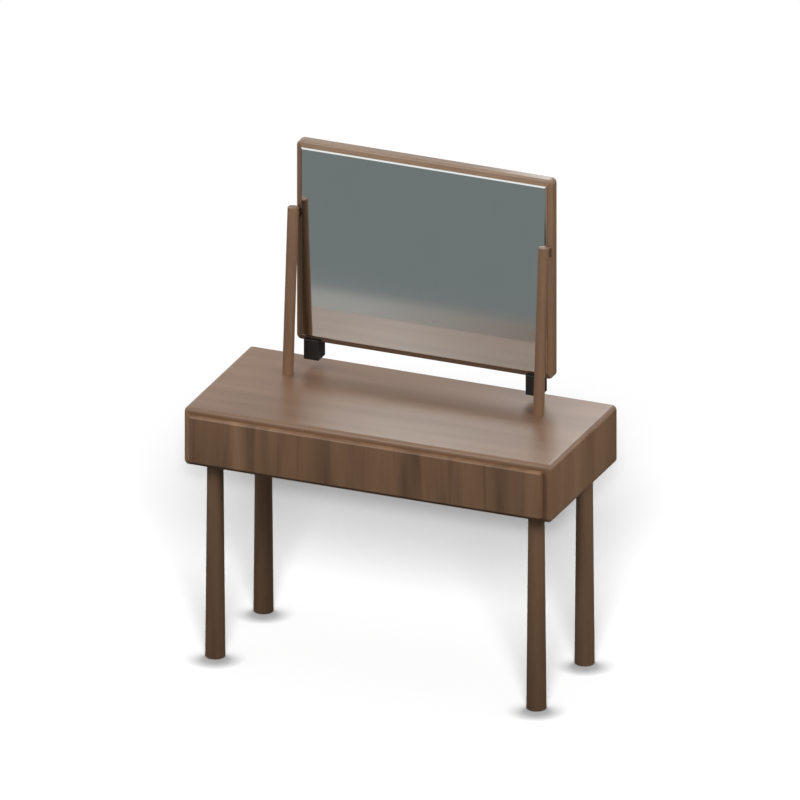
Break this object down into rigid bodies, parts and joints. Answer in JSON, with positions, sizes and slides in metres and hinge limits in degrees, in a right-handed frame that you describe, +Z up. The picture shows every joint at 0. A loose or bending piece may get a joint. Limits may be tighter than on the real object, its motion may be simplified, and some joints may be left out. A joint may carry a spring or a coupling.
{
  "type": "vanity table",
  "caption": "Walnut dressing table on round legs, with a full-width drawer on telescopic slides and a framed mirror that tilts on friction pivots behind two leaning posts.",
  "frame": {"origin": "on the floor, under the middle of the object's box", "axes": "+X to the right of a person who sits at the table, +Y from the person to the back, +Z up"},
  "size_m": [1.1, 0.4914, 1.4275],
  "materials": {
    "walnut": "satin lacquer",
    "birch": "matt lacquer",
    "mirror_glass": "polished",
    "black_iron": "satin black",
    "steel": "zinc plated",
    "nylon": "matt",
    "felt": "felt"
  },
  "bodies": {
    "table": {"back_screws": "steel", "case_back": "walnut", "case_bottom": "walnut", "case_side_left": "walnut", "case_side_right": "walnut", "case_tongues": "birch", "case_top": "walnut", "leg_back_left": "walnut", "leg_back_right": "walnut", "leg_bolts": "steel", "leg_front_left": "walnut", "leg_front_right": "walnut", "leg_glides": "nylon", "leg_plate_screws": "steel", "leg_plates": "steel", "pivot_eye_left": "black_iron", "pivot_eye_right": "black_iron", "post_left": "walnut", "post_right": "walnut", "post_screws": "steel", "post_washers": "steel", "slide_case_left": "steel", "slide_case_right": "steel", "slide_case_screws": "steel"},
    "drawer": {"drawer_back": "birch", "drawer_bottom": "birch", "drawer_bumpers": "felt", "drawer_dowels": "birch", "drawer_front": "walnut", "drawer_front_screws": "steel", "drawer_inner_front": "birch", "drawer_side_left": "birch", "drawer_side_right": "birch", "slide_drawer_left": "steel", "slide_drawer_right": "steel", "slide_drawer_screws": "steel"},
    "mirror": {"mirror_backboard": "birch", "mirror_corner_keys": "birch", "mirror_frame_bottom": "walnut", "mirror_frame_left": "walnut", "mirror_frame_right": "walnut", "mirror_frame_top": "walnut", "mirror_glass": "mirror_glass", "mirror_shoe_left": "black_iron", "mirror_shoe_right": "black_iron", "pivot_clevis_left": "black_iron", "pivot_clevis_right": "black_iron", "pivot_pins": "black_iron", "pivot_screws": "black_iron", "pivot_washers": "nylon", "shoe_screws": "steel"},
    "slide_middle_left": {"slide_middle_left": "steel"},
    "slide_middle_right": {"slide_middle_right": "steel"}
  },
  "joints": [
    {"name": "drawer_slide", "type": "slide", "parent": "table", "child": "drawer", "axis": [0, -1, 0], "range_m": [0, 0.3]},
    {"name": "left_middle_slide", "type": "slide", "parent": "table", "child": "slide_middle_left", "axis": [0, -1, 0], "range_m": [0, 0.15]},
    {"name": "right_middle_slide", "type": "slide", "parent": "table", "child": "slide_middle_right", "axis": [0, -1, 0], "range_m": [0, 0.15]},
    {"name": "mirror_tilt", "type": "hinge", "parent": "table", "child": "mirror", "pos_m": [0, 0.17739, 1.2135], "axis": [1, 0, 0], "range_deg": [-6, 20]}
  ],
  "couplings": [
    {"joint": "left_middle_slide", "follows": "drawer_slide", "ratio": 0.5},
    {"joint": "right_middle_slide", "follows": "drawer_slide", "ratio": 0.5}
  ]
}
